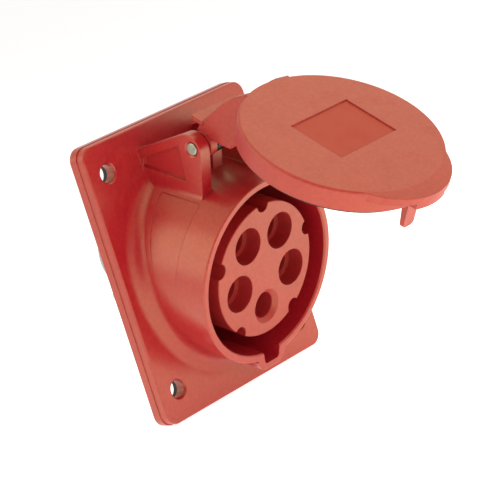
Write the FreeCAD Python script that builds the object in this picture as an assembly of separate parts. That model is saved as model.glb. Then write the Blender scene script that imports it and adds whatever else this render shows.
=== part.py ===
import FreeCAD, Part
import math
import os

from FreeCAD import Placement, Rotation, Vector

os.makedirs("parts", exist_ok=True)

# Angled five-pole panel socket for 16 A pins, with a sprung lid.
# Lengths are millimetres and angles are degrees.
# Frame: X to the right seen from the front, Y into the panel, Z up.
# The origin is the middle of the flange's back face, which meets the panel.

# flange
flange_margin = 7.5
flange_height = 94.0
flange_thickness = 6.0
flange_corner_radius = 4.3
flange_edge_radius = 0.55
flange_rear_band = 2.9
flange_band_step = 0.25
fixing_inset_x = 8.5
fixing_inset_z = 10.5
fixing_hole_radius = 3.0
fixing_hole_chamfer = 0.5

# gasket in the back of the flange
gasket_thickness = 2.0
gasket_border = 2.0
gasket_clearance = 0.3

# collar that takes the plug, and its tilt downwards
socket_tilt = 20.0
collar_bore_radius = 28.5
collar_wall = 2.5
collar_reach = 26.5
collar_blend = 5.0
rim_edge_radius = 0.5
shroud_depth = 34.0
floor_thickness = 5.5

# slightly sunk side of the collar, deepest under the ear and running out below
collar_side_front = 12.0
collar_side_top_angle = 123.0
collar_side_end_angle = 175.0
collar_side_fade_angle = 265.0
collar_side_sink = 0.5
collar_side_corner = 2.0
collar_side_flange_gap = 1.5

# keyway at six o'clock
keyway_half_width = 3.9
keyway_depth = 3.85
keyway_taper = 0.5
keyway_wall = 2.15
keyway_boss_half_width = 6.6
keyway_boss_tip_half_width = 4.1
keyway_boss_corner = 1.9
keyway_slot_corner = 1.36

# moulded insert that carries the contacts
insert_radius = 22.46
insert_setback = 1.44
insert_running_gap = 0.34
insert_lug_thickness = 2.5
insert_edge_radius = 0.4
notch_radius = 2.6
notch_angles = (90.0, 18.0, -54.0, -126.0, 162.0)
notch_end_wall = 1.0

# contact places, seen from the front
contact_circle_radius = 13.2
phase_angles = {
    "contact_l1": 126.0,
    "contact_l2": 54.0,
    "contact_l3": -18.0,
    "contact_neutral": 198.0,
}
earth_angle = 270.0
well_radius = 6.1
well_depth = 6.0
phase_entry_radius = 4.45
earth_entry_radius = 4.3
earth_entry_depth = 11.5
earth_lead_in = 1.5
earth_seat_radius = 4.75
earth_nose_clearance = 0.15

# contact sleeves
phase_pin_radius = 2.5
earth_pin_radius = 3.5
pin_clearance = 0.05
phase_sleeve_radius = 4.1
earth_sleeve_radius = 4.4
phase_sleeve_start = 16.0
earth_sleeve_start = 14.0
earth_nose_length = 2.0
pin_depth = 22.0
sleeve_slot_width = 0.8
sleeve_slot_depth = 14.0
sleeve_lead_in = 0.5
contact_collar_radius = 5.2
contact_collar_thickness = 2.0
contact_collar_clearance = 0.1
contact_tail_radius = 4.4
contact_tail_length = 12.5
wire_hole_radius = 2.3
wire_hole_depth = 9.5

# spring rings round the sleeves
clip_offset = 2.5
clip_width = 2.3
clip_thickness = 0.42
clip_groove_depth = 0.35
clip_clearance = 0.05
clip_gap = 1.6

# terminal housing behind the insert
terminal_radius = 20.0
terminal_length = 14.5
terminal_edge_radius = 0.6
chamber_clearance = 0.3
lug_thickness = 2.2
lug_angles = (90.0, 210.0, 330.0)
lug_circle_radius = 25.4
lug_end_radius = 2.9

# terminal screws and the pressure plates under them
terminal_screw_place = 7.0
terminal_screw_radius = 2.0
terminal_head_radius = 2.6
terminal_head_recess = 0.4
terminal_head_height = 1.7
terminal_head_gap = 0.1
screwdriver_slot_width = 0.8
screwdriver_slot_depth = 0.8
screw_clearance = 0.05
screw_access_clearance = 0.4
plate_front = 3.5
plate_back = 2.0
plate_width = 3.0
plate_thickness = 0.6
plate_offset = 1.0

# screws that hold the insert
carrier_screw_radius = 1.25
carrier_head_radius = 2.5
carrier_head_height = 1.9
carrier_screw_reach = 4.4
carrier_screw_fit = 0.02
carrier_hole_clearance = 0.15
carrier_pilot_extra = 0.2
carrier_head_edge = 0.57
carrier_cross_half_length = 1.5
carrier_cross_depth = 1.14
washer_radius = 2.75
washer_thickness = 0.5

# ring seal of the insert
insert_seal_radius = 0.75
insert_seal_place = 3.0
insert_seal_squeeze_gap = 0.01
insert_seal_side_gap = 0.15

# hinge
hinge_depth = 16.4
hinge_rise = 11.8
hinge_pin_radius = 2.0
hinge_pin_edge = 0.3
hinge_running_fit = 0.05
hinge_tight_fit = 0.02
ear_outer = 15.4
ear_thickness = 4.4
ear_front = 12.7
ear_tip_radius = 5.5
ear_foot_radius = 2.2
ear_top_drop = 26.3
ear_top_reach = 5.4
ear_recess_depth = 1.0
ear_recess_border = 3.35
ear_recess_front_low = 2.9
ear_recess_front_high = 5.6
ear_recess_back = 21.1
ear_recess_floor_gap = 0.2
ear_recess_floor_rise = 0.8
ear_ring_radius = 2.75
ear_ring_depth = 0.5

# lid
lid_radius = 32.1
lid_skirt_radius = 31.75
lid_height = 8.7
lid_rim_gap = 1.7
lid_wall = 2.2
lid_skirt_wall = 1.7
lid_edge_radius = 0.8
lid_open_angle = 73.64
lid_stop_angle = 110.0
lid_stop_gap = 0.35

# plain recess in the lid's top
plate_recess_left = -11.4
plate_recess_right = 15.5
plate_recess_near = 11.2
plate_recess_far = -8.9
plate_recess_depth = 0.4

# lift tab and latch tongue at the lid's free end
tab_radius = 22.0
tab_overhang = 4.9
tab_fall = 0.8
tab_thickness = 2.0
tab_blend = 14.0
tab_block_half_width = 7.0
tab_block_depth = 5.0
tab_block_inset = 0.4
tongue_half_width = 2.65
tongue_outer_radius = 30.2
tongue_root_radius = 27.1
tongue_tip_radius = 28.9
tongue_length = 17.0
tongue_root_taper = 0.6
tongue_tip_corner = 1.45

# arm between the lid and its hinge
arm_half_width = 10.0
cheek_thickness = 2.2
arm_roof_thickness = 1.9
arm_roof_sink = 1.5
arm_roof_lean = 39.0
arm_skirt_overlap = 1.85
arm_skirt_step = 0.4
arm_collar_step = 0.3
hub_radius = 4.2
hub_side_gap = 0.3
arm_collar_gap = 0.4
lip_half_width = 10.4
lip_thickness = 1.4
lip_place_up = 6.2
lip_place_out = -6.4
heel_half_width = 1.8
heel_reach = 6.6
heel_thickness = 3.0
stop_rib_half_width = 2.2
stop_rib_length = 4.0
stop_rib_setback = 0.6
stop_rib_foot = 2.4
stop_drop = 4.8

# lid seal
lid_seal_inner = 26.9
lid_seal_width = 3.2
lid_seal_gap = 0.3
lid_seal_seat = 3.9
lid_seal_clearance = 0.1
seal_rib = 1.5
seal_rib_height = 2.0
seal_loop_half_width = 6.2
seal_loop_width = 2.4
seal_tongue_gap = 0.35

# lid spring
spring_wire_radius = 0.6
spring_coil_radius = 3.3
spring_whole_turns = 2
spring_coil_spacing = 1.32
spring_inner_x = 3.1
spring_foot_reach = 13.6
spring_lip_reach = 5.0
spring_seat_gap = 0.05

# side of the arm: how far out along the lid and up from the hinge pin
arm_rear = (-2.3, 7.2)
arm_shoulder = (4.5, 17.7)
arm_waist = ((6.9, 3.6), (3.6, 3.4), (0, 0), (-3.9, 1.6))
arm_brow_in = 4.8
arm_brow_drop = 3.2
arm_crest_in = 2.3
arm_crest_drop = 1.2
arm_end_in = 0.8
arm_toe_up = 7.9
arm_heel_up = 4.2
rib_half_length = 2.4
rib_toe = (9.6, 18.0)
rib_waist = (4.2, 3.6)
rib_hub_inset = 0.8
lip_root_out = -1.6

# places that follow from the sizes above
socket_axis = Vector(0, 1, 0)
across = Vector(1, 0, 0)
flange_front = -flange_thickness
collar_radius = collar_bore_radius + collar_wall
flange_width = 2 * (collar_radius + flange_margin)
fixing_x = flange_width / 2 - fixing_inset_x
fixing_z = flange_height / 2 - fixing_inset_z
fixing_places = [(x, z) for x in (-fixing_x, fixing_x) for z in (-fixing_z, fixing_z)]
housing_end = shroud_depth + floor_thickness
insert_end = housing_end + insert_lug_thickness
terminal_end = insert_end + terminal_length
floor_hole_radius = insert_radius + insert_running_gap
collar_start = insert_end - contact_collar_thickness
chamber_radius = contact_tail_radius + chamber_clearance
terminal_screw_depth = insert_end + terminal_screw_place
hinge_height = collar_radius + hinge_rise
ear_inner = ear_outer - ear_thickness
lug_reach = lug_circle_radius + lug_end_radius
carrier_hole_radius = carrier_screw_radius + carrier_hole_clearance
lid_top = -lid_height
lid_underside = lid_top + lid_wall
tab_reach = lid_radius + tab_overhang
spring_foot_depth = hinge_depth + spring_foot_reach
join = 0.5
overcut = 1.0
long_cut = 200.0

rim_centre = Vector(
    0,
    flange_front - collar_reach * math.cos(math.radians(socket_tilt)),
    -collar_reach * math.sin(math.radians(socket_tilt)),
)
socket_frame = Placement(rim_centre, Rotation(across, socket_tilt))
hinge_point = Vector(0, hinge_depth, hinge_height)


# The socket's own frame: x across, depth behind the rim, height above the axis.
def placed(shape):
    copy = shape.copy()
    copy.Placement = socket_frame.multiply(copy.Placement)
    return copy


def cylinder(radius, start, end, x=0.0, height=0.0):
    return Part.makeCylinder(radius, end - start, Vector(x, start, height), socket_axis)


def cone(start_radius, end_radius, start, end, x=0.0, height=0.0):
    base = Vector(x, start, height)
    return Part.makeCone(start_radius, end_radius, end - start, base, socket_axis)


def ring(outer, inner, start, end):
    return cylinder(outer, start, end).cut(cylinder(inner, start - overcut, end + overcut))


def block(x0, x1, y0, y1, z0, z1):
    return Part.makeBox(x1 - x0, y1 - y0, z1 - z0, Vector(x0, y0, z0))


def turned(points):
    corners = [Vector(radius, depth, 0) for radius, depth in points]
    face = Part.Face(Part.makePolygon(corners + corners[:1]))
    return face.revolve(Vector(0, 0, 0), socket_axis, 360)


def side_profile(points, x0, x1):
    corners = [Vector(x0, depth, height) for depth, height in points]
    face = Part.Face(Part.makePolygon(corners + corners[:1]))
    return face.extrude(Vector(x1 - x0, 0, 0))


def front_profile(points, start, end):
    corners = [Vector(x, start, height) for x, height in points]
    face = Part.Face(Part.makePolygon(corners + corners[:1]))
    return face.extrude(Vector(0, end - start, 0))


# Angles run from +X towards up, seen from the front.
def around(shape, angle):
    copy = shape.copy()
    copy.rotate(Vector(0, 0, 0), Vector(0, -1, 0), angle)
    return copy


def polar(radius, angle):
    return (radius * math.cos(math.radians(angle)), radius * math.sin(math.radians(angle)))


def rounded(shape, radius, chosen):
    edges = [edge for edge in shape.Edges if chosen(edge)]
    return shape.makeFillet(radius, edges)


def in_plane(edge, axis, value):
    box = edge.BoundBox
    low = (box.XMin, box.YMin, box.ZMin)[axis]
    high = (box.XMax, box.YMax, box.ZMax)[axis]
    return abs(low - value) < 1e-3 and abs(high - value) < 1e-3


def along(edge, direction):
    if edge.Curve.TypeId != "Part::GeomLine":
        return False
    return abs(edge.tangentAt(edge.FirstParameter).dot(direction)) > 0.999


def below(edge, height):
    return edge.BoundBox.ZMax < height + 0.1


def single(shape):
    solid = shape.removeSplitter()
    return solid.Solids[0] if len(solid.Solids) == 1 else solid


def save(name, shape):
    shape.exportStep("parts/" + name + ".step")


# Flange plate with round corners, seen as a slab between two depths.
def rounded_slab(width, height, corner, back, front):
    slab = block(-width / 2, width / 2, front, back, -height / 2, height / 2)
    return rounded(slab, corner, lambda edge: along(edge, socket_axis))


def fixing_holes(radius, start, end):
    return Part.makeCompound([cylinder(radius, start, end, x, z) for x, z in fixing_places])


def fixing_chamfers():
    mouth = fixing_hole_radius + fixing_hole_chamfer
    end = flange_front + fixing_hole_chamfer
    cones = [cone(mouth, fixing_hole_radius, flange_front, end, x, z) for x, z in fixing_places]
    return Part.makeCompound(cones)


def keyway_boss(grow=0.0):
    reach = collar_bore_radius + keyway_depth + keyway_wall + grow
    half = keyway_boss_half_width + grow
    tip = keyway_boss_tip_half_width + grow
    points = (
        (-half, -collar_radius + collar_wall / 2),
        (-half, -collar_radius),
        (-tip, -reach),
        (tip, -reach),
        (half, -collar_radius),
        (half, -collar_radius + collar_wall / 2),
    )
    boss = front_profile(points, 0, shroud_depth + floor_thickness / 2)
    boss = rounded(boss, keyway_boss_corner, lambda edge: along(edge, socket_axis) and below(edge, -reach))
    if grow:
        return boss
    return rounded(boss, rim_edge_radius, lambda edge: in_plane(edge, 1, 0) and below(edge, -collar_radius))


def keyway_slot():
    bottom = collar_bore_radius + keyway_depth
    narrow = keyway_half_width - keyway_taper
    points = (
        (-keyway_half_width, -collar_bore_radius + collar_wall),
        (-keyway_half_width, -collar_bore_radius),
        (-narrow, -bottom),
        (narrow, -bottom),
        (keyway_half_width, -collar_bore_radius),
        (keyway_half_width, -collar_bore_radius + collar_wall),
    )
    slot = front_profile(points, -overcut, shroud_depth)
    return rounded(slot, keyway_slot_corner, lambda edge: along(edge, socket_axis) and below(edge, -bottom))


# The ear's top edge is a straight line that falls towards the flange.
def ear_top_height(depth):
    fall = math.tan(math.radians(ear_top_drop))
    nearest = Vector(0, math.sin(math.radians(ear_top_drop)), math.cos(math.radians(ear_top_drop)))
    foot = hinge_point + nearest * ear_top_reach
    return foot.z - fall * (depth - foot.y)


def ear():
    back = collar_reach + flange_thickness + ear_top_height(ear_front) * math.tan(math.radians(socket_tilt))
    low = collar_bore_radius / 2
    points = (
        (ear_front, low),
        (ear_front, ear_top_height(ear_front)),
        (back, ear_top_height(back)),
        (back, low),
    )
    blank = side_profile(points, ear_inner, ear_outer)
    tip = ear_top_height(ear_front)

    def front_tip(edge):
        return along(edge, across) and edge.BoundBox.ZMin > tip - 0.01

    blank = rounded(blank, ear_tip_radius, front_tip)
    blank = blank.cut(cylinder(collar_bore_radius + collar_wall / 2, -overcut, long_cut))
    return blank.cut(ear_recess())


def ear_recess():
    front_low = hinge_depth + ear_recess_front_low
    front_high = hinge_depth + ear_recess_front_high
    back = hinge_depth + ear_recess_back
    floor = collar_radius + ear_recess_floor_gap
    points = (
        (front_low, floor),
        (front_high, ear_top_height(front_high) - ear_recess_border),
        (back, ear_top_height(back) - ear_recess_border),
        (back, floor + ear_recess_floor_rise),
    )
    return side_profile(points, ear_outer - ear_recess_depth, ear_outer + overcut)


# Hollow fillet between the ear's outer face and the collar.
def ear_foot():
    centre_x = ear_outer + ear_foot_radius
    centre_height = math.sqrt((collar_radius + ear_foot_radius) ** 2 - centre_x ** 2)
    inward = (collar_radius - join) / (collar_radius + ear_foot_radius)
    points = (
        (ear_outer - join, centre_height),
        (centre_x, centre_height),
        (centre_x * inward, centre_height * inward),
        (ear_outer - join, centre_height * inward),
    )
    foot = front_profile(points, ear_front, housing_end)
    return foot.cut(cylinder(ear_foot_radius, ear_front - overcut, long_cut, centre_x, centre_height))


# The sunk side is what a wedge has outside a cylinder as wide as the collar but set a little lower.
def collar_side():
    inside = collar_radius - collar_wall
    outside = collar_radius + collar_wall
    middle = (collar_side_top_angle + collar_side_end_angle) / 2
    points = [
        polar(inside, collar_side_top_angle),
        polar(outside, collar_side_top_angle),
        polar(outside, middle),
        polar(outside, collar_side_end_angle),
        polar(inside, collar_side_end_angle),
        polar(inside, middle),
    ]
    wedge = front_profile(points, collar_side_front, long_cut)
    top_x, top_height = polar(1, collar_side_top_angle)

    def front_top(edge):
        on_top = all(abs(end.X * top_height - end.Z * top_x) < 1e-3 for end in edge.Vertexes)
        return in_plane(edge, 1, collar_side_front) and on_top

    wedge = rounded(wedge, collar_side_corner, front_top)
    x, height = polar(collar_side_sink, collar_side_fade_angle)
    return wedge.cut(cylinder(collar_radius, 0, long_cut, x, height))


def ear_pin_hole():
    start = Vector(-ear_outer - overcut, hinge_depth, hinge_height)
    hole = Part.makeCylinder(hinge_pin_radius + hinge_tight_fit, 2 * (ear_outer + overcut), start, across)
    for side in (-1, 1):
        mouth = Vector(side * ear_outer, hinge_depth, hinge_height)
        inward = Vector(-side, 0, 0)
        hole = hole.fuse(Part.makeCone(ear_ring_radius, hinge_pin_radius, ear_ring_depth, mouth, inward))
    return hole


# Small rib between the ears that stops the lid when it is fully open.
def stop_rib():
    top = hinge_height - stop_drop
    start = hinge_depth + heel_reach - stop_rib_length + stop_rib_setback
    low = collar_bore_radius + collar_wall / 2
    points = (
        (start, low),
        (start, top),
        (start + stop_rib_length, top),
        (start + stop_rib_length + stop_rib_foot, low),
    )
    return side_profile(points, -stop_rib_half_width, stop_rib_half_width)


def panel_housing():
    front_width = flange_width - 2 * flange_band_step
    front_height = flange_height - 2 * flange_band_step
    front_start = join - flange_rear_band
    front = rounded_slab(front_width, front_height, flange_corner_radius, front_start, flange_front)
    front = rounded(front, flange_edge_radius, lambda edge: in_plane(edge, 1, flange_front))
    rear = rounded_slab(flange_width, flange_height, flange_corner_radius, 0, -flange_rear_band)
    barrel = cylinder(collar_radius, 0, long_cut)
    barrel = rounded(barrel, rim_edge_radius, lambda edge: in_plane(edge, 1, 0))
    body = single(front.fuse(rear).fuse(placed(barrel)))
    room = flange_width / 2 - flange_band_step - flange_edge_radius - collar_radius
    blend = min(collar_blend, room - flange_edge_radius)

    def foot_of_collar(edge):
        box = edge.BoundBox
        return in_plane(edge, 1, flange_front) and max(box.XMax, -box.XMin) < collar_radius + join

    body = rounded(body, blend, foot_of_collar)
    beyond = placed(cylinder(collar_radius + overcut, housing_end, long_cut + overcut))
    body = body.cut(beyond.cut(block(-long_cut, long_cut, -long_cut, 0, -long_cut, long_cut)))
    behind = block(-long_cut, long_cut, -flange_rear_band, long_cut, -long_cut, long_cut)
    for shape in (ear(), ear_foot()):
        for side in (shape, shape.mirror(Vector(0, 0, 0), across)):
            body = body.fuse(placed(side).cut(behind))
    side_end = flange_front - blend - collar_side_flange_gap
    near_flange = block(-long_cut, long_cut, side_end, long_cut, -long_cut, long_cut)
    side = collar_side()
    for shape in (side, side.mirror(Vector(0, 0, 0), across)):
        body = body.cut(placed(shape).cut(near_flange))
    body = body.fuse(placed(stop_rib()).cut(behind))
    body = body.fuse(placed(keyway_boss()))
    body = body.cut(placed(cylinder(collar_bore_radius, -overcut, shroud_depth)))
    mouth_radius = collar_bore_radius + rim_edge_radius
    body = body.cut(placed(cone(mouth_radius, collar_bore_radius, 0, rim_edge_radius)))
    body = body.cut(placed(keyway_slot()))
    body = body.cut(placed(cylinder(floor_hole_radius, shroud_depth - overcut, housing_end + overcut)))
    body = body.cut(placed(cylinder(lug_reach + insert_running_gap * 2, housing_end, long_cut)))
    body = body.cut(gasket_recess())
    body = body.cut(fixing_holes(fixing_hole_radius, flange_front - overcut, overcut))
    body = body.cut(fixing_chamfers())
    body = body.cut(placed(ear_pin_hole()))
    for angle in lug_angles:
        x, height = polar(lug_circle_radius, angle)
        depth = housing_end - carrier_screw_reach - carrier_pilot_extra
        body = body.cut(placed(cylinder(carrier_screw_radius, depth, housing_end + overcut, x, height)))
    return single(body)


def gasket_outline(inset, back, front):
    width = flange_width - 2 * gasket_border - 2 * inset
    height = flange_height - 2 * gasket_border - 2 * inset
    return rounded_slab(width, height, flange_corner_radius - gasket_border / 2, back, front)


def gasket_recess():
    recess = gasket_outline(0, overcut, -gasket_thickness)
    recess = recess.cut(placed(cylinder(collar_radius, -long_cut, long_cut)))
    return recess.cut(placed(keyway_boss()))


def flange_gasket():
    gasket = gasket_outline(gasket_clearance, 0, -gasket_thickness)
    gasket = gasket.cut(placed(cylinder(collar_radius + gasket_clearance, -long_cut, long_cut)))
    gasket = gasket.cut(placed(keyway_boss(gasket_clearance)))
    return single(gasket.cut(fixing_holes(fixing_hole_radius + gasket_clearance, -long_cut, long_cut)))


def lug(start, end):
    neck = block(0, lug_circle_radius, start, end, -lug_end_radius, lug_end_radius)
    return neck.fuse(cylinder(lug_end_radius, start, end, lug_circle_radius, 0))


def contact_insert():
    groove = floor_hole_radius - insert_seal_squeeze_gap - 2 * insert_seal_radius
    seal_half = insert_seal_radius + insert_seal_side_gap
    seal_middle = housing_end - insert_seal_place
    body = turned((
        (0, insert_setback),
        (insert_radius, insert_setback),
        (insert_radius, seal_middle - seal_half),
        (groove, seal_middle - seal_half),
        (groove, seal_middle + seal_half),
        (insert_radius, seal_middle + seal_half),
        (insert_radius, insert_end),
        (0, insert_end),
    ))
    body = rounded(body, insert_edge_radius, lambda edge: in_plane(edge, 1, insert_setback))
    for angle in lug_angles:
        body = body.fuse(around(lug(housing_end, insert_end), angle))
    for angle in notch_angles:
        x, height = polar(insert_radius, angle)
        body = body.cut(cylinder(notch_radius, 0, shroud_depth - notch_end_wall, x, height))
    collar_seat = contact_collar_radius + contact_collar_clearance
    for angle in phase_angles.values():
        x, height = polar(contact_circle_radius, angle)
        body = body.cut(cylinder(well_radius, 0, insert_setback + well_depth, x, height))
        body = body.cut(cylinder(phase_entry_radius, 0, long_cut, x, height))
        body = body.cut(cylinder(collar_seat, collar_start, long_cut, x, height))
    x, height = polar(contact_circle_radius, earth_angle)
    mouth = earth_entry_radius + earth_lead_in
    body = body.cut(cylinder(earth_entry_radius, 0, long_cut, x, height))
    lead_in_end = insert_setback + earth_lead_in
    body = body.cut(cone(mouth, earth_entry_radius, insert_setback, lead_in_end, x, height))
    body = body.cut(cylinder(earth_seat_radius, insert_setback + earth_entry_depth, long_cut, x, height))
    body = body.cut(cylinder(collar_seat, collar_start, long_cut, x, height))
    for angle in lug_angles:
        x, height = polar(lug_circle_radius, angle)
        body = body.cut(cylinder(carrier_hole_radius, housing_end - overcut, long_cut, x, height))
    return single(body)


def insert_seal():
    middle = Vector(0, housing_end - insert_seal_place, 0)
    radius = floor_hole_radius - insert_seal_squeeze_gap - insert_seal_radius
    return Part.makeTorus(radius, insert_seal_radius, middle, socket_axis)


# One contact on the socket's axis, with its terminal screw pointing along +X.
def contact(sleeve_radius, pin_radius, start, nose_length=0.0):
    bore = pin_radius + pin_clearance
    mouth = start - nose_length
    groove = sleeve_radius - clip_groove_depth
    body = turned((
        (0, start),
        (sleeve_radius - sleeve_lead_in, start),
        (sleeve_radius, start + sleeve_lead_in),
        (sleeve_radius, start + clip_offset),
        (groove, start + clip_offset),
        (groove, start + clip_offset + clip_width),
        (sleeve_radius, start + clip_offset + clip_width),
        (sleeve_radius, collar_start),
        (contact_collar_radius, collar_start),
        (contact_collar_radius, insert_end),
        (contact_tail_radius, insert_end),
        (contact_tail_radius, insert_end + contact_tail_length),
        (0, insert_end + contact_tail_length),
    ))
    if nose_length:
        nose_radius = earth_entry_radius - earth_nose_clearance
        body = body.fuse(cylinder(nose_radius, mouth, start + join))
    body = body.cut(cylinder(bore, mouth - overcut, start + pin_depth))
    body = body.cut(cone(bore + sleeve_lead_in, bore, mouth, mouth + sleeve_lead_in))
    side = sleeve_radius + overcut
    slot = block(-side, side, mouth - overcut, start + sleeve_slot_depth,
                 -sleeve_slot_width / 2, sleeve_slot_width / 2)
    for angle in (45.0, 135.0):
        body = body.cut(around(slot, angle))
    tail_end = insert_end + contact_tail_length
    body = body.cut(cylinder(wire_hole_radius, tail_end - wire_hole_depth, tail_end + overcut))
    screw_base = Vector(0, terminal_screw_depth, 0)
    thread = Part.makeCylinder(terminal_screw_radius, contact_tail_radius + overcut, screw_base, across)
    return single(body.cut(thread))


def clip(sleeve_radius, start):
    groove = sleeve_radius - clip_groove_depth
    inner = groove + clip_clearance
    front = start + clip_offset + clip_clearance
    back = start + clip_offset + clip_width - clip_clearance
    body = ring(inner + clip_thickness, inner, front, back)
    gap = block(0, sleeve_radius + overcut, front - overcut, back + overcut, -clip_gap / 2, clip_gap / 2)
    return single(body.cut(gap))


# A copy of a contact's piece, carried to its place and turned to face outwards.
def at_contact(shape, angle):
    copy = shape.copy()
    copy.translate(Vector(contact_circle_radius, 0, 0))
    return placed(around(copy, angle))


def terminal_screw():
    seat = contact_circle_radius + contact_tail_radius + terminal_head_gap
    head_top = terminal_radius - terminal_head_recess
    head_start = max(seat, head_top - terminal_head_height)
    tip = plate_offset + plate_thickness + screw_clearance
    shank_start = Vector(tip, terminal_screw_depth, 0)
    head_place = Vector(head_start - contact_circle_radius, terminal_screw_depth, 0)
    shank_radius = terminal_screw_radius - screw_clearance
    shank = Part.makeCylinder(shank_radius, head_place.x - tip, shank_start, across)
    head = Part.makeCylinder(terminal_head_radius, head_top - head_start, head_place, across)
    slot_floor = head_top - contact_circle_radius - screwdriver_slot_depth
    half = screwdriver_slot_width / 2
    slot = block(slot_floor, long_cut,
                 terminal_screw_depth - terminal_head_radius, terminal_screw_depth + terminal_head_radius,
                 -half, half)
    return single(shank.fuse(head).cut(slot))


def terminal_plate():
    return block(plate_offset, plate_offset + plate_thickness,
                 terminal_screw_depth - plate_front, terminal_screw_depth + plate_back,
                 -plate_width / 2, plate_width / 2)


def terminal_housing():
    body = cylinder(terminal_radius, insert_end, terminal_end)
    body = rounded(body, terminal_edge_radius, lambda edge: in_plane(edge, 1, terminal_end))
    for angle in lug_angles:
        body = body.fuse(around(lug(insert_end, insert_end + lug_thickness), angle))
    for angle in list(phase_angles.values()) + [earth_angle]:
        x, height = polar(contact_circle_radius, angle)
        body = body.cut(cylinder(chamber_radius, insert_end - overcut, terminal_end + overcut, x, height))
        base = Vector(contact_circle_radius, terminal_screw_depth, 0)
        access_radius = terminal_head_radius + screw_access_clearance
        access = Part.makeCylinder(access_radius, terminal_radius, base, across)
        body = body.cut(around(access, angle))
    for angle in lug_angles:
        x, height = polar(lug_circle_radius, angle)
        body = body.cut(cylinder(carrier_hole_radius, insert_end - overcut, long_cut, x, height))
    return single(body)


def carrier_screw():
    under_head = insert_end + lug_thickness + washer_thickness
    head_end = under_head + carrier_head_height
    shank = cylinder(carrier_screw_radius - carrier_screw_fit, housing_end - carrier_screw_reach, under_head)
    head = cylinder(carrier_head_radius, under_head, head_end)
    head = rounded(head, carrier_head_edge, lambda edge: in_plane(edge, 1, head_end))
    half = screwdriver_slot_width / 2
    cross = block(-half, half, head_end - carrier_cross_depth, head_end + overcut,
                  -carrier_cross_half_length, carrier_cross_half_length)
    body = shank.fuse(head)
    for angle in (0.0, 90.0):
        body = body.cut(around(cross, angle))
    return single(body)


def carrier_washer():
    start = insert_end + lug_thickness
    return ring(washer_radius, carrier_hole_radius, start, start + washer_thickness)


def at_lugs(shape):
    copies = []
    for angle in lug_angles:
        copy = shape.copy()
        copy.translate(Vector(lug_circle_radius, 0, 0))
        copies.append(placed(around(copy, angle)))
    return Part.makeCompound(copies)


# The lid is drawn shut on the collar and then swung about its hinge.
def swung(shape, angle):
    copy = shape.copy()
    copy.rotate(hinge_point, across, -angle)
    return copy


# Arm places are given from the hinge: out along the lid, and up towards its top face.
def arm_profile(points, x0, x1):
    return side_profile([(hinge_depth - up, hinge_height - out) for out, up in points], x0, x1)


def hub(radius, x0, x1):
    return Part.makeCylinder(radius, x1 - x0, Vector(x0, hinge_depth, hinge_height), across)


def lid_shell():
    skirt_end = -lid_rim_gap
    body = turned((
        (0, lid_top),
        (lid_radius, lid_top),
        (lid_skirt_radius, skirt_end),
        (lid_skirt_radius - lid_skirt_wall, skirt_end),
        (lid_skirt_radius - lid_skirt_wall, lid_underside),
        (0, lid_underside),
    ))
    return rounded(body, lid_edge_radius, lambda edge: in_plane(edge, 1, lid_top))


def lift_tab():
    centre = tab_reach - tab_radius
    slope_start = lid_radius - lid_edge_radius
    top = turned((
        (0, lid_top),
        (slope_start, lid_top),
        (tab_reach + overcut, lid_top + tab_fall),
        (tab_reach + overcut, lid_top + tab_thickness + tab_fall),
        (0, lid_top + tab_thickness + tab_fall),
    ))
    start = lid_top - overcut
    end = lid_top + tab_thickness + tab_fall + overcut
    disc = cylinder(slope_start, start, end)
    outline = disc.fuse(cylinder(tab_radius, start, end, 0, -centre))
    outline = outline.removeSplitter()

    def inner_corner(edge):
        return along(edge, socket_axis) and abs(edge.BoundBox.XMin) > 1

    outline = rounded(outline, tab_blend, inner_corner)
    return outline.common(top)


def tab_block():
    low = lid_top + tab_block_depth
    blank = block(-tab_block_half_width, tab_block_half_width, lid_top + tab_thickness, low,
                  -tab_reach, -lid_skirt_radius + overcut)
    inner = tab_radius - tab_block_inset
    return blank.common(cylinder(inner, lid_top, low + overcut, 0, tab_radius - tab_reach))


def tongue():
    tip = lid_top + tongue_length
    root = lid_underside - join
    outer = lid_skirt_radius - tongue_root_taper
    points = (
        (root, -tongue_root_radius),
        (-lid_rim_gap, -tongue_root_radius - tongue_root_taper),
        (tip, -tongue_tip_radius),
        (tip, -tongue_outer_radius),
        (-lid_rim_gap, -tongue_outer_radius),
        (-lid_rim_gap - overcut, -outer),
        (root, -outer),
    )
    body = side_profile(points, -tongue_half_width, tongue_half_width)
    return rounded(body, tongue_tip_corner, lambda edge: in_plane(edge, 1, tip) and not along(edge, across))


def seal_seat_shape(grow, start, end):
    inner = lid_seal_inner - grow
    outer = lid_seal_inner + lid_seal_width + grow
    loop_in = tongue_root_radius - seal_tongue_gap - seal_loop_width - grow
    half = seal_loop_half_width + grow
    seat = ring(outer, inner, start, end)
    return seat.fuse(block(-half, half, start, end, -lid_seal_inner - overcut, -loop_in))


def lid_seal():
    start = lid_top + lid_seal_seat
    end = -lid_seal_gap
    seal = seal_seat_shape(0, start, end)
    slot_half = tongue_half_width + seal_tongue_gap
    slot_end = seal_tongue_gap - tongue_root_radius
    slot = block(-slot_half, slot_half, start - overcut, end + overcut, -long_cut, slot_end)
    return single(seal.cut(slot))


def arm_skirt():
    return hinge_height - lid_skirt_radius + arm_skirt_overlap


# The arm's top line from the hinge to the lid, let down by some distance square to it.
def arm_top_line(sink):
    skirt = arm_skirt()
    top = hinge_depth - lid_top
    line = (
        arm_rear,
        arm_shoulder,
        (skirt - arm_brow_in, top - arm_brow_drop),
        (skirt - arm_crest_in, top - arm_crest_drop),
        (skirt - arm_end_in, top),
    )
    out_shift = sink * math.cos(math.radians(arm_roof_lean))
    up_shift = sink * math.sin(math.radians(arm_roof_lean))
    return [(out + out_shift, up - up_shift) for out, up in line]


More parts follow.
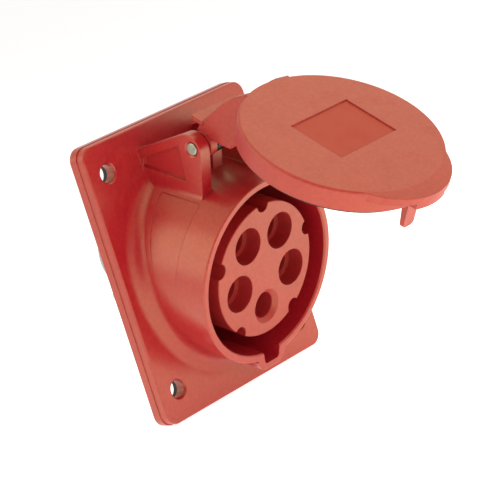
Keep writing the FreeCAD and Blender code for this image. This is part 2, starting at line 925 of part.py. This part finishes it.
def arm_cheek():
    skirt = arm_skirt()
    top = hinge_depth - lid_top
    collar_up = hinge_depth + lid_rim_gap
    line = arm_top_line(0) + [
        (skirt + arm_skirt_step, top),
        (skirt + arm_skirt_step, collar_up + arm_collar_step),
        (skirt, collar_up),
        (skirt, arm_toe_up),
        (skirt - arm_crest_in, arm_heel_up),
    ] + list(arm_waist)
    inner = arm_half_width - cheek_thickness
    cheek = arm_profile(line, inner, arm_half_width)
    return cheek.fuse(hub(hub_radius, inner, ear_inner - hub_side_gap))


def arm_rib():
    under_roof = arm_top_line(arm_roof_sink + arm_roof_thickness / 2)[:3]
    line = [(-rib_half_length, 0)] + under_roof + [rib_toe, rib_waist, (rib_half_length, 0)]
    rib = arm_profile(line, -heel_half_width, heel_half_width)
    return rib.fuse(hub(hub_radius - rib_hub_inset, -heel_half_width, heel_half_width))


def arm_lip():
    top = lip_place_up + lip_thickness
    line = (
        (lip_place_out, lip_place_up),
        (lip_place_out, top),
        (lip_root_out, top),
        (lip_root_out, lip_place_up),
    )
    return arm_profile(line, -lip_half_width, lip_half_width)


# The roof lies between the cheeks, a little lower than their top edges.
def lid_arm():
    cheek = arm_cheek()
    under = arm_top_line(arm_roof_sink + arm_roof_thickness)
    roof_line = arm_top_line(arm_roof_sink) + under[::-1]
    inner = arm_half_width - cheek_thickness / 2
    body = arm_profile(roof_line, -inner, inner)
    for shape in (cheek, cheek.mirror(Vector(0, 0, 0), across), arm_lip(), arm_rib(), heel()):
        body = body.fuse(shape)
    return body.cut(cylinder(collar_radius + arm_collar_gap, -lid_rim_gap, long_cut))


# The heel is drawn where it meets the stop rib, and turned back to the shut lid.
def heel():
    low = hinge_height - stop_drop + lid_stop_gap
    points = (
        (hinge_depth, low),
        (hinge_depth + heel_reach, low),
        (hinge_depth + heel_reach, low + heel_thickness),
        (hinge_depth, low + heel_thickness),
    )
    return swung(side_profile(points, -heel_half_width, heel_half_width), -lid_stop_angle)


def lid():
    body = lid_shell()
    body = body.fuse(lift_tab()).fuse(tab_block())
    seat = lid_top + lid_seal_seat
    body = body.fuse(seal_seat_shape(seal_rib, lid_underside - join, seat + seal_rib_height))
    body = body.cut(seal_seat_shape(lid_seal_clearance, seat, 0))
    body = body.fuse(tongue())
    body = body.fuse(lid_arm())
    body = body.cut(block(plate_recess_left, plate_recess_right, lid_top - overcut, lid_top + plate_recess_depth,
                          plate_recess_far, plate_recess_near))
    bore = hinge_pin_radius + hinge_running_fit
    body = body.cut(hub(bore, -ear_outer, ear_outer))
    return single(body)


def hinge_pin():
    body = hub(hinge_pin_radius, -ear_outer, ear_outer)

    def end_edge(edge):
        return in_plane(edge, 0, -ear_outer) or in_plane(edge, 0, ear_outer)

    return rounded(body, hinge_pin_edge, end_edge)


# Point where a straight wire leaves the coil, for an end at (depth, height).
def tangent_angle(depth, height, side):
    away = math.hypot(depth - hinge_depth, height - hinge_height)
    towards = math.degrees(math.atan2(height - hinge_height, depth - hinge_depth))
    return towards + side * math.degrees(math.acos(spring_coil_radius / away))


def on_coil(angle, x):
    depth = hinge_depth + spring_coil_radius * math.cos(math.radians(angle))
    height = hinge_height + spring_coil_radius * math.sin(math.radians(angle))
    return Vector(x, depth, height)


def straight_wire(start, end):
    return Part.makeCylinder(spring_wire_radius, (end - start).Length, start, end - start)


def lid_spring():
    lip_face = lip_place_up - spring_wire_radius - spring_seat_gap
    shut = Vector(0, -lip_face, spring_lip_reach)
    bridge = Rotation(across, -lid_open_angle).multVec(shut) + hinge_point
    foot_x = spring_inner_x + spring_coil_spacing * spring_whole_turns
    foot_height = math.sqrt(collar_radius ** 2 - foot_x ** 2) + spring_wire_radius + spring_seat_gap
    bridge_angle = tangent_angle(bridge.y, bridge.z, 1)
    foot_angle = tangent_angle(spring_foot_depth, foot_height, -1)
    turns = spring_whole_turns + ((foot_angle - bridge_angle) % 360) / 360
    helix = Part.makeHelix(spring_coil_spacing, spring_coil_spacing * turns, spring_coil_radius)
    section = Part.makeCircle(spring_wire_radius, Vector(spring_coil_radius, 0, 0), Vector(0, 1, 0))
    coil = Part.Wire(helix).makePipeShell([Part.Wire(section)], True, True)
    coil.rotate(Vector(0, 0, 0), Vector(1, 1, 1), 120)
    coil.rotate(Vector(0, 0, 0), across, bridge_angle)
    coil.translate(Vector(spring_inner_x, hinge_depth, hinge_height))
    outer_x = spring_inner_x + spring_coil_spacing * turns
    leg_start = on_coil(foot_angle, outer_x)
    leg_end = Vector(outer_x, spring_foot_depth, foot_height)
    rise_start = on_coil(bridge_angle, spring_inner_x)
    rise_end = Vector(spring_inner_x, bridge.y, bridge.z)
    middle = Vector(-join, bridge.y, bridge.z)
    half = coil
    for start, end in ((leg_start, leg_end), (rise_start, rise_end)):
        half = half.fuse(Part.makeSphere(spring_wire_radius, start)).fuse(straight_wire(start, end))
    half = half.fuse(Part.makeSphere(spring_wire_radius, rise_end)).fuse(straight_wire(middle, rise_end))
    return single(half.fuse(half.mirror(Vector(0, 0, 0), across)))


save("panel_housing", panel_housing())
save("flange_gasket", flange_gasket())
save("contact_insert", placed(contact_insert()))
save("insert_seal", placed(insert_seal()))
save("terminal_housing", placed(terminal_housing()))
phase_contact = contact(phase_sleeve_radius, phase_pin_radius, phase_sleeve_start)
for name, angle in phase_angles.items():
    save(name, at_contact(phase_contact, angle))
earth_contact = contact(earth_sleeve_radius, earth_pin_radius, earth_sleeve_start, earth_nose_length)
save("contact_earth", at_contact(earth_contact, earth_angle))
phase_clip = clip(phase_sleeve_radius, phase_sleeve_start)
save("phase_contact_clips", Part.makeCompound([at_contact(phase_clip, a) for a in phase_angles.values()]))
save("earth_contact_clip", at_contact(clip(earth_sleeve_radius, earth_sleeve_start), earth_angle))
poles = list(phase_angles.values()) + [earth_angle]
save("terminal_screws", Part.makeCompound([at_contact(terminal_screw(), a) for a in poles]))
save("terminal_plates", Part.makeCompound([at_contact(terminal_plate(), a) for a in poles]))
save("carrier_screws", at_lugs(carrier_screw()))
save("carrier_washers", at_lugs(carrier_washer()))
save("lid", placed(swung(lid(), lid_open_angle)))
save("lid_seal", placed(swung(lid_seal(), lid_open_angle)))
save("hinge_pin", placed(hinge_pin()))
save("lid_spring", placed(lid_spring()))
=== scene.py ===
import math
import bmesh
import bpy
from mathutils import Matrix, Vector


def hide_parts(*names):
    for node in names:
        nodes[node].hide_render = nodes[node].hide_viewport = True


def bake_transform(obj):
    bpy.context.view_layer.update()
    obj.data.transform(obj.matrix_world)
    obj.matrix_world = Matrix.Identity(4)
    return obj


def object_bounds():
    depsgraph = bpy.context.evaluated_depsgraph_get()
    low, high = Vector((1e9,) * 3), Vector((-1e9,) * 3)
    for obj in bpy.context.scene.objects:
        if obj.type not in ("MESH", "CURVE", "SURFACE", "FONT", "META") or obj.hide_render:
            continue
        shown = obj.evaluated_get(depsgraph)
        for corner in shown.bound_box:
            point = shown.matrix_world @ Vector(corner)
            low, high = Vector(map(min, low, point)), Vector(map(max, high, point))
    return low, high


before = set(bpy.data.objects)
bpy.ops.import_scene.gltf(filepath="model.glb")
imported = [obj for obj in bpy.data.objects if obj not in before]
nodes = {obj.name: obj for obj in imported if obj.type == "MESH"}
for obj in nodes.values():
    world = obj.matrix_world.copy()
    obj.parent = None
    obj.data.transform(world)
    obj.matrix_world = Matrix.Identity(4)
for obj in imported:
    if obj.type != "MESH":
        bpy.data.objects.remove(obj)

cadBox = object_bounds()
print("frame loaded with", len(nodes), "nodes")


class Wire:  # a socket that can stand in a sum
    def __init__(self, finish, socket):
        self.finish = finish
        self.socket = socket

    def maths(self, operation, first, second):
        types = [end.socket.type for end in (first, second) if isinstance(end, Wire)]
        kind = "ShaderNodeVectorMath" if "VECTOR" in types else "ShaderNodeMath"
        return self.finish.node(kind, {"operation": operation}, {0: first, 1: second})

    def __add__(self, other):
        return self.maths("ADD", self, other)

    def __radd__(self, other):
        return self.maths("ADD", other, self)

    def __sub__(self, other):
        return self.maths("SUBTRACT", self, other)

    def __rsub__(self, other):
        return self.maths("SUBTRACT", other, self)

    def __mul__(self, other):
        return self.maths("MULTIPLY", self, other)

    def __rmul__(self, other):
        return self.maths("MULTIPLY", other, self)


class Finish:  # the nodes of a material, or of the world, and the shader that they feed
    def __init__(self, owner, shader="Principled BSDF"):
        owner.use_nodes = True
        self.owner = owner
        self.tree = owner.node_tree
        self.shader = self.tree.nodes[shader]

    def node(self, kind, settings=None, values=None, out=0):  # sockets by name or by number
        made = self.tree.nodes.new(kind)
        for name, setting in (settings or {}).items():
            if name == "stops":
                self.fillRamp(made.color_ramp, setting)
            else:
                setattr(made, name, setting)
        for name, value in (values or {}).items():
            self.feed(made.inputs[name], value)
        return Wire(self, made.outputs[out])

    def feed(self, socket, value):
        if isinstance(value, Wire):
            self.tree.links.new(value.socket, socket)
        else:
            socket.default_value = value

    def fillRamp(self, ramp, stops):  # a new ramp has two stops, as many as are used here
        for element, (place, colour) in zip(ramp.elements, stops):
            element.position = place
            element.color = colour

    def shine(self, **values):  # sockets of the shader, spaces written as underscores
        for name, value in values.items():
            self.feed(self.shader.inputs[name.replace("_", " ")], value)

    def place(self):  # the object's own coordinates, in metres
        return self.node("ShaderNodeTexCoord", out=3)

    def noise(self, size, detail=2.0, rough=0.5, squeeze=None):  # size of the blotches in metres
        place = self.place() * squeeze if squeeze else self.place()
        return self.node("ShaderNodeTexNoise", values={
            "Vector": place, "Scale": 1 / size, "Detail": detail, "Roughness": rough})

    def stretch(self, value, low, high):  # 0 under low, 1 over high, smooth between
        return self.node("ShaderNodeMapRange", {"interpolation_type": "SMOOTHSTEP"},
                         {"Value": value, "From Min": low, "From Max": high})

    def between(self, value, low, high, soft):  # 1 from low to high, 0 outside
        over = self.stretch(value, low - soft, low + soft)
        return over - self.stretch(value, high - soft, high + soft)

    def blend(self, mask, first, second):  # the colour sockets of a Mix node are 6 and 7
        return self.node("ShaderNodeMix", {"data_type": "RGBA"},
                         {0: mask, 6: first, 7: second}, out=2)

    def bump(self, height, depth, under=None):  # depth in metres
        values = {"Height": height, "Distance": depth, "Strength": 1.0}
        if under:
            values["Normal"] = under
        return self.node("ShaderNodeBump", values=values)

    def softEdges(self, radius):
        return self.node("ShaderNodeBevel", {"samples": 4}, {"Radius": radius})

    def along(self, direction):  # how far a point lies along a direction, in metres
        return self.node("ShaderNodeVectorMath", {"operation": "DOT_PRODUCT"},
                         {0: self.place(), 1: direction}, out=1)

    def awayFrom(self, middle):  # how far a point lies from another, in metres
        return self.node("ShaderNodeVectorMath", {"operation": "DISTANCE"},
                         {0: self.place(), 1: middle}, out=1)


# Red moulded plastic with the fine grain of an eroded mould
# Here and below, a noise is its size in metres, its detail and its roughness

redPlastic = {
    "colour": (0.390, 0.0065, 0.0170, 1),
    "deep": (0.340, 0.0050, 0.0150, 1),
    "pale": (0.450, 0.0200, 0.0230, 1),
    "cloud": (0.018, 3.0),
    "mottle": (0.0013, 3.0, 0.6),
    "mottleRange": (0.35, 0.70),
    "mottleShare": 0.60,
    "grain": (0.00045, 2.0, 0.6),
    "grainDepth": 0.000006,
    "grainRough": 0.08,
    "wave": (0.012, 1.0),
    "waveDepth": 0.00003,
    "rub": (0.007, 4.0, 0.6),
    "rubRange": (0.45, 0.75),
    "rubRough": 0.05,
    "roughness": 0.26,
    "sheen": (1.0, 0.94, 0.57, 1),  # the pale haze of the surface is warm
    "index": 1.80,
    "edgeRadius": 0.00035,
}
lidPlastic = dict(redPlastic, roughness=0.42)
insertPlastic = dict(redPlastic, roughness=0.42,
                     colour=(0.345, 0.0130, 0.0175, 1), deep=(0.320, 0.0110, 0.0155, 1))

# The plain recess in the lid's top, measured in metres along the open lid's own directions. Its
# floor colour is painted shade: a deeper, more saturated red than the rest of the lid

plateRecess = {
    "across": (1.0, 0.0, 0.0),
    "up": (0.0, 0.8053, 0.5929),
    "out": (0.0, -0.5929, 0.8053),
    "left": -0.01140,
    "right": 0.01550,
    "low": -0.05417,
    "high": -0.03407,
    "floor": 0.07217,
    "soft": 0.00015,
    # painted shade: the recess floor's deeper red stands in for the shade of the recess
    "colour": (0.390, 0.0045, 0.0060, 1),
    "paintedShadeShare": 0.90,
    "rough": 0.10,
    "lustre": 0.15,
}


def plateMask(red, plate):
    soft = plate["soft"]
    over = red.between(red.along(plate["across"]), plate["left"], plate["right"], soft)
    up = red.between(red.along(plate["up"]), plate["low"], plate["high"], soft)
    out = red.between(red.along(plate["out"]),
                      plate["floor"] - soft, plate["floor"] + soft, soft)
    return over * up * out


def mouldedRed(name, parts, plate=None):
    red = Finish(bpy.data.materials.new(name))
    cloud = red.noise(*parts["cloud"])
    mottle = red.stretch(red.noise(*parts["mottle"]), *parts["mottleRange"])
    grain = red.noise(*parts["grain"])
    rubbed = red.stretch(red.noise(*parts["rub"]), *parts["rubRange"])
    body = red.blend(cloud, parts["deep"], parts["colour"])
    colour = red.blend(parts["mottleShare"] * mottle, body, parts["pale"])
    rough = parts["roughness"] + parts["rubRough"] * rubbed + parts["grainRough"] * grain
    if plate:
        inside = plateMask(red, plate)
        # painted shade of the recess: its floor is blended toward a deeper red
        colour = red.blend(plate["paintedShadeShare"] * inside, colour, plate["colour"])
        rough = rough + plate["rough"] * inside
        red.shine(Metallic=plate["lustre"] * inside)
    edges = red.softEdges(parts["edgeRadius"])
    waves = red.bump(red.noise(*parts["wave"]), parts["waveDepth"], edges)
    red.shine(Base_Color=colour,
              Roughness=rough,
              Normal=red.bump(grain, parts["grainDepth"], waves),
              Specular_Tint=parts["sheen"],
              IOR=parts["index"])
    return red.owner


redFinish = mouldedRed("redPlastic", redPlastic)
lidFinish = mouldedRed("lidPlastic", lidPlastic, plateRecess)
insertFinish = mouldedRed("insertPlastic", insertPlastic)
print("red plastic made")


# Pale grey plastic of the terminal housing

greyPlastic = {
    "colour": (0.44, 0.44, 0.42, 1),
    "deep": (0.38, 0.385, 0.37, 1),
    "cloud": (0.02, 3.0),
    "grain": (0.0005, 2.0, 0.6),
    "grainDepth": 0.000008,
    "grainRough": 0.08,
    "flow": (0.006, 2.0),
    "flowDepth": 0.00002,
    "roughness": 0.48,
    "index": 1.5,
    "edgeRadius": 0.0003,
}


def mouldedGrey(name, parts):
    grey = Finish(bpy.data.materials.new(name))
    cloud = grey.noise(*parts["cloud"])
    grain = grey.noise(*parts["grain"])
    edges = grey.softEdges(parts["edgeRadius"])
    flow = grey.bump(grey.noise(*parts["flow"]), parts["flowDepth"], edges)
    grey.shine(Base_Color=grey.blend(cloud, parts["deep"], parts["colour"]),
               Roughness=parts["roughness"] + parts["grainRough"] * grain,
               Normal=grey.bump(grain, parts["grainDepth"], flow),
               IOR=parts["index"])
    return grey.owner


greyFinish = mouldedGrey("greyPlastic", greyPlastic)
print("grey plastic made")


# Black rubber of the gasket and the seals

blackRubber = {
    "colour": (0.018, 0.018, 0.019, 1),
    "dusty": (0.045, 0.043, 0.04, 1),
    "dust": (0.004, 5.0, 0.65),
    "dustRange": (0.45, 0.70),
    "dustRough": 0.12,
    "pores": (0.0004, 3.0, 0.6),
    "poreDepth": 0.00002,
    "roughness": 0.68,
}


def sealRubber(name, parts):
    rubber = Finish(bpy.data.materials.new(name))
    dust = rubber.stretch(rubber.noise(*parts["dust"]), *parts["dustRange"])
    rubber.shine(Base_Color=rubber.blend(dust, parts["colour"], parts["dusty"]),
                 Roughness=parts["roughness"] + parts["dustRough"] * dust,
                 Normal=rubber.bump(rubber.noise(*parts["pores"]), parts["poreDepth"]))
    return rubber.owner


rubberFinish = sealRubber("sealRubber", blackRubber)
print("rubber made")


# Turned brass, and steel that is plated, sprung or ground

metalSkin = {
    "tarnish": (0.003, 4.0, 0.6),
    "tarnishRange": (0.42, 0.72),
    "tarnishRough": 0.16,
    "toolMark": 1 / 900,
    "toolSqueeze": (1.0, 1.0, 9.0),
    "toolDepth": 0.000004,
    "edgeRadius": 0.00015,
}
turnedBrass = dict(metalSkin, roughness=0.24,
                   colour=(0.72, 0.47, 0.20, 1), dull=(0.52, 0.33, 0.14, 1))
platedSteel = dict(metalSkin, roughness=0.30,
                   colour=(0.62, 0.61, 0.57, 1), dull=(0.46, 0.45, 0.41, 1))
springSteel = dict(metalSkin, roughness=0.38,
                   colour=(0.110, 0.100, 0.092, 1), dull=(0.060, 0.052, 0.047, 1))
pinSteel = dict(metalSkin, roughness=0.30,
                colour=(0.46, 0.50, 0.40, 1), dull=(0.30, 0.33, 0.25, 1))


def bareMetal(name, parts):
    bare = Finish(bpy.data.materials.new(name))
    tarnish = bare.stretch(bare.noise(*parts["tarnish"]), *parts["tarnishRange"])
    tooling = bare.noise(parts["toolMark"], squeeze=parts["toolSqueeze"])
    edges = bare.softEdges(parts["edgeRadius"])
    bare.shine(Base_Color=bare.blend(tarnish, parts["colour"], parts["dull"]),
               Roughness=parts["roughness"] + parts["tarnishRough"] * tarnish,
               Normal=bare.bump(tooling, parts["toolDepth"], edges),
               Metallic=1.0)
    return bare.owner


brassFinish = bareMetal("turnedBrass", turnedBrass)
steelFinish = bareMetal("platedSteel", platedSteel)
springFinish = bareMetal("springSteel", springSteel)
pinFinish = bareMetal("pinSteel", pinSteel)
print("metals made")


# Which node wears what; the five contacts, which aren't named here, are brass

wears = {
    "panel_housing": redFinish,
    "lid": lidFinish,
    "contact_insert": insertFinish,
    "terminal_housing": greyFinish,
    "flange_gasket": rubberFinish,
    "lid_seal": rubberFinish,
    "insert_seal": rubberFinish,
    "hinge_pin": pinFinish,
    "lid_spring": springFinish,
    "phase_contact_clips": steelFinish,
    "earth_contact_clip": steelFinish,
    "terminal_screws": steelFinish,
    "terminal_plates": steelFinish,
    "carrier_screws": steelFinish,
    "carrier_washers": steelFinish,
}

for nodeName, piece in nodes.items():
    finish = wears.get(nodeName, brassFinish)
    if not piece.material_slots:
        piece.data.materials.append(finish)
    for materialSlot in piece.material_slots:
        materialSlot.material = finish
print("nodes dressed")


def intoScene(name, data):
    thing = bpy.data.objects.new(name, data)
    bpy.context.scene.collection.objects.link(thing)
    return thing


def meshFrom(net, name, finish):
    mesh = bpy.data.meshes.new(name)
    net.to_mesh(mesh)
    net.free()
    mesh.materials.append(finish)
    return mesh


# The spring is cut at its middle into a left and a right half, each closed where it was cut


def springHalf(name, side):
    net = bmesh.new()
    net.from_mesh(nodes["lid_spring"].data)
    everything = net.verts[:] + net.edges[:] + net.faces[:]
    bmesh.ops.bisect_plane(net, geom=everything, clear_inner=True,
                           plane_co=(0, 0, 0), plane_no=(side, 0, 0))
    bmesh.ops.holes_fill(net, edges=[edge for edge in net.edges if edge.is_boundary])
    half = intoScene(name, meshFrom(net, name, springFinish))
    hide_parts("lid_spring")
    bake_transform(half)


springHalf("lid_spring_left", -1)
springHalf("lid_spring_right", 1)
print("spring made")


# A wide pale disc, a little uneven like painted board, that glows at the right front

floorBoard = {
    "radius": 9.0,
    "sides": 96,
    "dark": (0.88, 0.89, 0.915, 1),
    "pale": (0.91, 0.92, 0.945, 1),
    "cloud": (0.4, 2.0),
    "cloudRough": 0.1,
    "tooth": (0.002, 2.0),
    "toothDepth": 0.00002,
    "roughness": 0.75,
    "glowMiddle": (0.20, -0.18, -0.047),
    "glowRange": (0.06, 0.58),  # full up to the first distance, gone at the second
    "glow": (1.0, 0.985, 0.92, 1),
    "glowAround": (0.20, 0.215, 0.30, 1),
    "glowStrength": 1.15,
}


def boardFinish(parts):
    board = Finish(bpy.data.materials.new("paleBoard"))
    cloud = board.noise(*parts["cloud"])
    lit = 1 - board.stretch(board.awayFrom(parts["glowMiddle"]), *parts["glowRange"])
    board.shine(Base_Color=board.blend(cloud, parts["dark"], parts["pale"]),
                Roughness=parts["roughness"] + parts["cloudRough"] * cloud,
                Normal=board.bump(board.noise(*parts["tooth"]), parts["toothDepth"]),
                Emission_Color=board.blend(lit, parts["glowAround"], parts["glow"]),
                Emission_Strength=parts["glowStrength"])
    return board.owner


def paleFloor(parts):
    net = bmesh.new()
    bmesh.ops.create_circle(net, cap_ends=True, radius=parts["radius"], segments=parts["sides"],
                            matrix=Matrix.Translation((0, 0, cadBox[0][2])))
    floor = intoScene("floor", meshFrom(net, "floor", boardFinish(parts)))


paleFloor(floorBoard)
print("floor laid")


# Light comes from a bright tent all round, dark on one side, and from four soft boxes

tent = {
    "level": (0.92, 0.91, 0.90, 1),
    "levelUpTo": 0.25,
    "top": (0.96, 0.89, 0.69, 1),
    "topFrom": 0.65,
    "darkSide": (-0.66, -0.72, 0.20),
    "darkRange": (0.45, 0.95),
    "darkest": 0.12,
}
softBoxes = {
    "leftRear": {"place": (-0.90, 0.55, 0.60), "size": 0.95,
                 "power": 3.0, "colour": (1.0, 0.95, 0.86), "glint": True},
    "upperRight": {"place": (0.80, 0.04, 0.86), "size": 0.80,
                   "power": 1.7, "colour": (1.0, 0.92, 0.68), "glint": True},
    "fill": {"place": (-0.36, -0.80, 0.22), "size": 0.45,
             "power": 2.4, "colour": (1.0, 0.95, 0.92), "glint": False},  # only lifts the hollows
    "upperLeft": {"place": (-0.55, -0.30, 1.00), "size": 0.90,
                  "power": 1.0, "colour": (1.0, 0.97, 0.92), "glint": True},
}
softBoxAim = (0, -0.02, 0)


def lightTent(parts):
    cloth = Finish(bpy.data.worlds.new("tent"), "Background")
    direction = cloth.node("ShaderNodeTexCoord")
    height = cloth.node("ShaderNodeSeparateXYZ", values={0: direction}, out=2)
    facing = cloth.node("ShaderNodeVectorMath", {"operation": "DOT_PRODUCT"},
                        {0: direction, 1: parts["darkSide"]}, out=1)
    stops = [(parts["levelUpTo"], parts["level"]), (parts["topFrom"], parts["top"])]
    dark = (1 - parts["darkest"]) * cloth.stretch(facing, *parts["darkRange"])
    cloth.shine(Color=cloth.node("ShaderNodeValToRGB", {"stops": stops}, {0: height}),
                Strength=1 - dark)
    bpy.context.scene.world = cloth.owner


def turnTo(place, target):  # a camera or lamp at place looks along its own -Z
    return (Vector(target) - Vector(place)).to_track_quat("-Z", "Y").to_matrix()


def softBox(name, parts):
    lamp = bpy.data.lights.new(name, "AREA")
    lamp.shape = "DISK"
    lamp.size = parts["size"]
    lamp.energy = parts["power"]
    lamp.color = parts["colour"]
    box = intoScene(name, lamp)
    box.visible_glossy = parts["glint"]
    box.location = parts["place"]
    box.rotation_euler = turnTo(parts["place"], softBoxAim).to_euler()


lightTent(tent)
for boxName, boxParts in softBoxes.items():
    softBox(boxName, boxParts)
bpy.context.scene.view_settings.view_transform = "Standard"
print("tent and soft boxes set")


# Camera from the left front, rolled as the picture was taken

shot = {
    "place": (-0.52784, -0.57617, 0.14424),
    "lookAt": (0.01588, -0.00895, -0.00619),
    "roll": -17.62,
    "lens": 175.0,
    "sensor": 36.0,
    "near": 0.01,
    "far": 100.0,
}


def setCamera(parts):
    lens = bpy.data.cameras.new("shot")
    lens.lens = parts["lens"]
    lens.sensor_width = parts["sensor"]
    lens.clip_start = parts["near"]
    lens.clip_end = parts["far"]
    camera = intoScene("shot", lens)
    roll = Matrix.Rotation(math.radians(parts["roll"]), 3, "Z")
    turn = turnTo(parts["place"], parts["lookAt"]) @ roll
    camera.matrix_world = Matrix.Translation(parts["place"]) @ turn.to_4x4()
    bpy.context.scene.camera = camera


setCamera(shot)
print("camera set")
